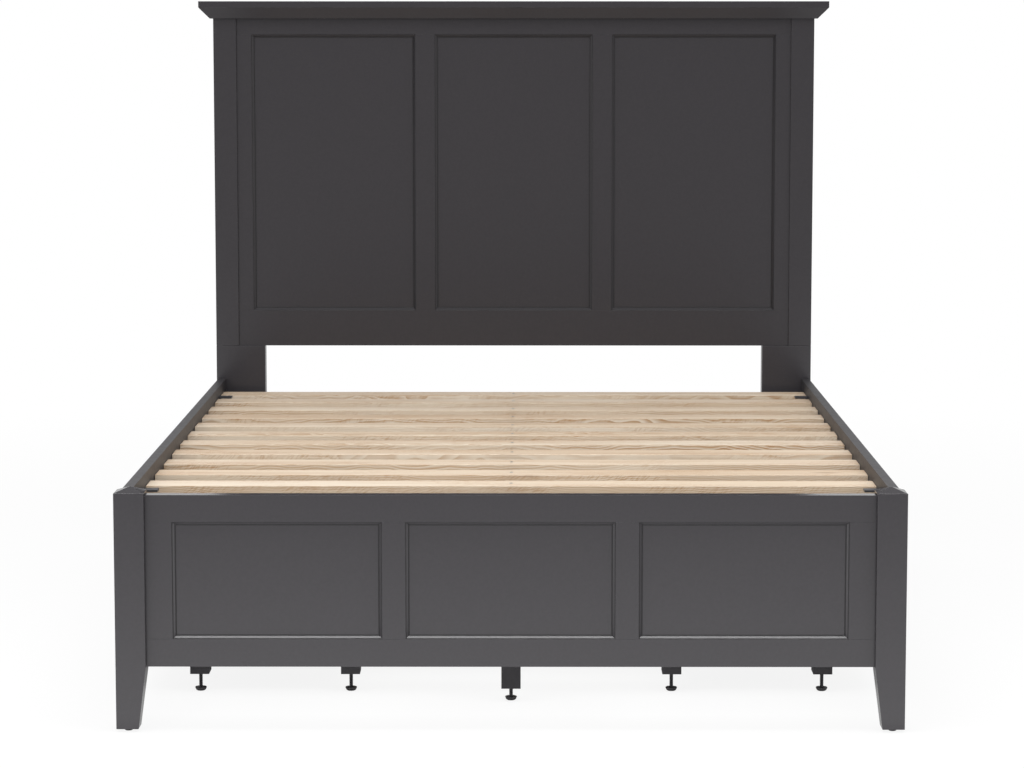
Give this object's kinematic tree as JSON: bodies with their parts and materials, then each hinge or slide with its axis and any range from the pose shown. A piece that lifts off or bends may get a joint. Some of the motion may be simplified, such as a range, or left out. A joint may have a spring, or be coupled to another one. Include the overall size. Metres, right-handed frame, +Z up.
{
  "type": "platform storage bed",
  "caption": "Storage bed with a tall panelled headboard under a crown, a low panelled footboard, a slatted deck on ledges, and drawers in both sides.",
  "frame": {"origin": "on the floor, in the middle of the bed's width and length", "axes": "+X to the right as seen from the foot, +Y towards the headboard, +Z up"},
  "size_m": [1.671, 2.183, 1.493],
  "materials": {
    "charcoal_paint": "satin charcoal paint",
    "slat_wood": "planed light oak, unfinished",
    "drawer_wood": "clear lacquered birch",
    "zinc_steel": "bright zinc plated",
    "black_steel": "black powder coat",
    "black_plastic": "matte"
  },
  "bodies": {
    "bed": {"crown_cap": "charcoal_paint", "crown_moulding": "charcoal_paint", "headboard_post_left": "charcoal_paint", "headboard_post_right": "charcoal_paint", "headboard_legs": "charcoal_paint", "headboard_top_rail": "charcoal_paint", "headboard_bottom_rail": "charcoal_paint", "headboard_stiles": "charcoal_paint", "headboard_panels": "charcoal_paint", "headboard_cross_rail": "charcoal_paint", "footboard_post_left": "charcoal_paint", "footboard_post_right": "charcoal_paint", "footboard_top_rail": "charcoal_paint", "footboard_bottom_rail": "charcoal_paint", "footboard_stiles": "charcoal_paint", "footboard_panels": "charcoal_paint", "side_rail_left": "charcoal_paint", "side_rail_right": "charcoal_paint", "slat_ledges": "charcoal_paint", "center_beam": "charcoal_paint", "center_legs": "charcoal_paint", "carcass_left": "charcoal_paint", "carcass_right": "charcoal_paint", "slat_01": "slat_wood", "slat_02": "slat_wood", "slat_03": "slat_wood", "slat_04": "slat_wood", "slat_05": "slat_wood", "slat_06": "slat_wood", "slat_07": "slat_wood", "slat_08": "slat_wood", "slat_09": "slat_wood", "slat_10": "slat_wood", "slat_11": "slat_wood", "steel_brackets": "black_steel", "corner_glides": "black_plastic", "runner_tracks": "zinc_steel"},
    "drawer_1": {"drawer_front_1": "charcoal_paint", "drawer_box_1": "drawer_wood", "drawer_runners_1": "zinc_steel"},
    "drawer_2": {"drawer_front_2": "charcoal_paint", "drawer_box_2": "drawer_wood", "drawer_runners_2": "zinc_steel"},
    "drawer_3": {"drawer_front_3": "charcoal_paint", "drawer_box_3": "drawer_wood", "drawer_runners_3": "zinc_steel"},
    "drawer_4": {"drawer_front_4": "charcoal_paint", "drawer_box_4": "drawer_wood", "drawer_runners_4": "zinc_steel"},
    "levelling_foot_01": {"levelling_foot_01": "black_steel"},
    "levelling_foot_02": {"levelling_foot_02": "black_steel"},
    "levelling_foot_03": {"levelling_foot_03": "black_steel"},
    "levelling_foot_04": {"levelling_foot_04": "black_steel"},
    "levelling_foot_05": {"levelling_foot_05": "black_steel"},
    "levelling_foot_06": {"levelling_foot_06": "black_steel"},
    "levelling_foot_07": {"levelling_foot_07": "black_steel"},
    "levelling_foot_08": {"levelling_foot_08": "black_steel"},
    "levelling_foot_09": {"levelling_foot_09": "black_steel"},
    "levelling_foot_10": {"levelling_foot_10": "black_steel"},
    "levelling_foot_11": {"levelling_foot_11": "black_steel"}
  },
  "joints": [
    {"name": "drawer_1_slide", "type": "slide", "parent": "bed", "child": "drawer_1", "axis": [-1, 0, 0], "range_m": [0, 0.3]},
    {"name": "drawer_2_slide", "type": "slide", "parent": "bed", "child": "drawer_2", "axis": [-1, 0, 0], "range_m": [0, 0.3]},
    {"name": "drawer_3_slide", "type": "slide", "parent": "bed", "child": "drawer_3", "axis": [1, 0, 0], "range_m": [0, 0.3]},
    {"name": "drawer_4_slide", "type": "slide", "parent": "bed", "child": "drawer_4", "axis": [1, 0, 0], "range_m": [0, 0.3]},
    {"name": "levelling_foot_01_screw", "type": "slide", "parent": "bed", "child": "levelling_foot_01", "axis": [0, 0, 1], "range_m": [-0.015, 0.015]},
    {"name": "levelling_foot_02_screw", "type": "slide", "parent": "bed", "child": "levelling_foot_02", "axis": [0, 0, 1], "range_m": [-0.015, 0.015]},
    {"name": "levelling_foot_03_screw", "type": "slide", "parent": "bed", "child": "levelling_foot_03", "axis": [0, 0, 1], "range_m": [-0.015, 0.015]},
    {"name": "levelling_foot_04_screw", "type": "slide", "parent": "bed", "child": "levelling_foot_04", "axis": [0, 0, 1], "range_m": [-0.015, 0.015]},
    {"name": "levelling_foot_05_screw", "type": "slide", "parent": "bed", "child": "levelling_foot_05", "axis": [0, 0, 1], "range_m": [-0.015, 0.015]},
    {"name": "levelling_foot_06_screw", "type": "slide", "parent": "bed", "child": "levelling_foot_06", "axis": [0, 0, 1], "range_m": [-0.015, 0.015]},
    {"name": "levelling_foot_07_screw", "type": "slide", "parent": "bed", "child": "levelling_foot_07", "axis": [0, 0, 1], "range_m": [-0.015, 0.015]},
    {"name": "levelling_foot_08_screw", "type": "slide", "parent": "bed", "child": "levelling_foot_08", "axis": [0, 0, 1], "range_m": [-0.015, 0.015]},
    {"name": "levelling_foot_09_screw", "type": "slide", "parent": "bed", "child": "levelling_foot_09", "axis": [0, 0, 1], "range_m": [-0.015, 0.015]},
    {"name": "levelling_foot_10_screw", "type": "slide", "parent": "bed", "child": "levelling_foot_10", "axis": [0, 0, 1], "range_m": [-0.015, 0.015]},
    {"name": "levelling_foot_11_screw", "type": "slide", "parent": "bed", "child": "levelling_foot_11", "axis": [0, 0, 1], "range_m": [-0.015, 0.015]}
  ]
}
